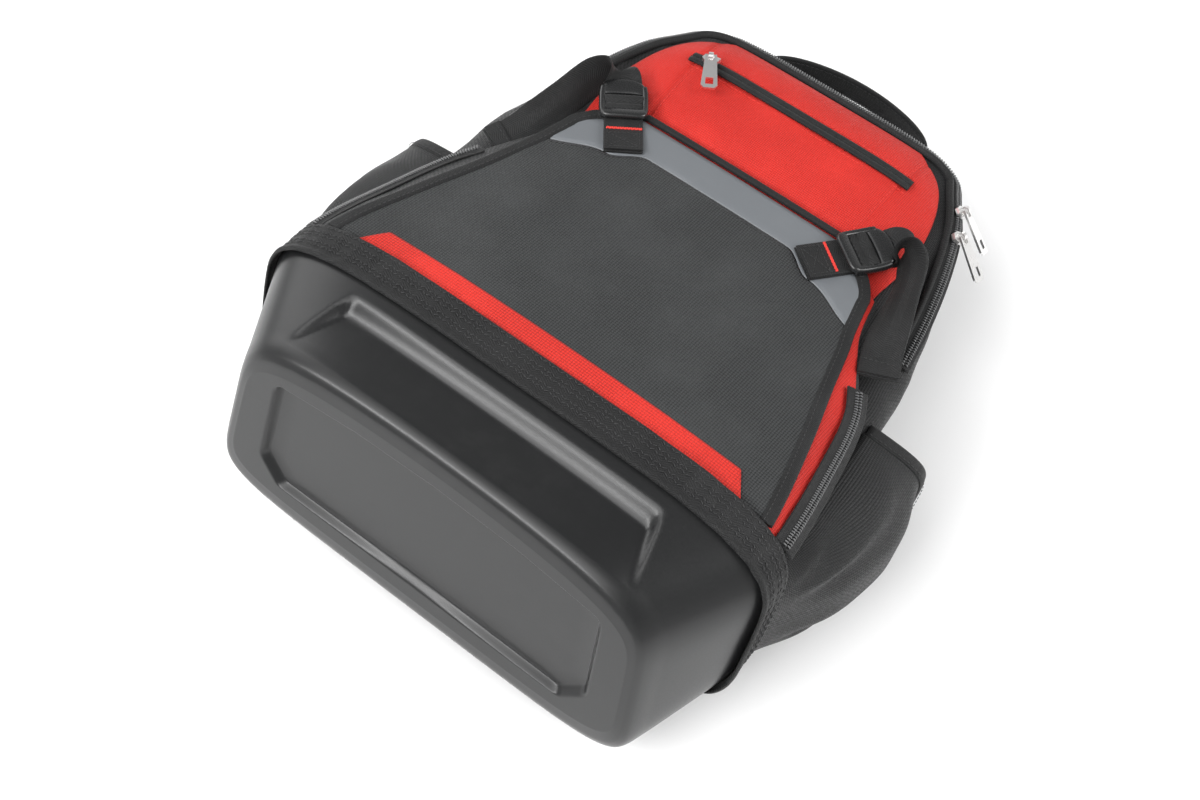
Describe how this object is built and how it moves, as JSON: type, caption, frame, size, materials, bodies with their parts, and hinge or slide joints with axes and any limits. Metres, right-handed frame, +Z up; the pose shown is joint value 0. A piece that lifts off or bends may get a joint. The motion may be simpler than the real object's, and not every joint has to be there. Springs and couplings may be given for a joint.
{
  "type": "tool backpack",
  "caption": "Cloth tool backpack with a moulded waterproof base, side pockets, a front pocket and a grab handle, lying on its back.",
  "frame": {"origin": "middle of the bag's box on the floor", "axes": "+Z up out of the front of the bag, +Y from the moulded base to the grab handle, +X to the right seen from the front"},
  "size_m": [0.413, 0.4934, 0.1666],
  "materials": {
    "moulded": "satin moulded",
    "red_cloth": "woven nylon",
    "black_cloth": "woven nylon",
    "grey_coated": "coated cloth",
    "webbing": "woven webbing",
    "nickel": "polished nickel plate"
  },
  "bodies": {
    "bag": {"base_tub": "moulded", "base_band": "webbing", "main_shell": "black_cloth", "front_compartment": "red_cloth", "front_panel": "black_cloth", "red_strip": "red_cloth", "grey_trim": "grey_coated", "top_piping": "webbing", "panel_binding_right": "webbing", "panel_binding_left": "webbing", "top_pocket": "red_cloth", "pocket_zipper": "webbing", "front_zipper_right": "webbing", "front_zipper_left": "webbing", "main_zipper": "webbing", "pocket_slider": "nickel", "main_slider_a": "nickel", "main_slider_b": "nickel", "side_pocket_right": "black_cloth", "side_pocket_left": "black_cloth", "pocket_binding_right": "webbing", "pocket_binding_left": "webbing", "buckle_right": "moulded", "buckle_left": "moulded", "strap_tab_right": "webbing", "strap_tab_left": "webbing", "compression_strap_right": "webbing", "compression_strap_left": "webbing", "grab_handle": "webbing", "back_panel": "black_cloth", "shoulder_strap_right": "black_cloth", "shoulder_strap_left": "black_cloth", "strap_webbing_right": "webbing", "strap_webbing_left": "webbing"},
    "pocket_pull": {"pocket_pull": "nickel"},
    "main_pull_a": {"main_pull_a": "nickel"},
    "main_pull_b": {"main_pull_b": "nickel"}
  },
  "joints": [
    {"name": "pocket_pull_hinge", "type": "hinge", "parent": "bag", "child": "pocket_pull", "pos_m": [-0.07224, 0.1452, 0.13086], "axis": [-0.8501, -0.5251, -0.0404], "range_deg": [0, 150]},
    {"name": "main_pull_a_hinge", "type": "hinge", "parent": "bag", "child": "main_pull_a", "pos_m": [0.12067, 0.16064, 0.1106], "axis": [0.0372, -0.8998, 0.4346], "range_deg": [0, 150]},
    {"name": "main_pull_b_hinge", "type": "hinge", "parent": "bag", "child": "main_pull_b", "pos_m": [0.13014, 0.13918, 0.11281], "axis": [-0.1206, -0.9324, 0.3408], "range_deg": [0, 150]}
  ]
}
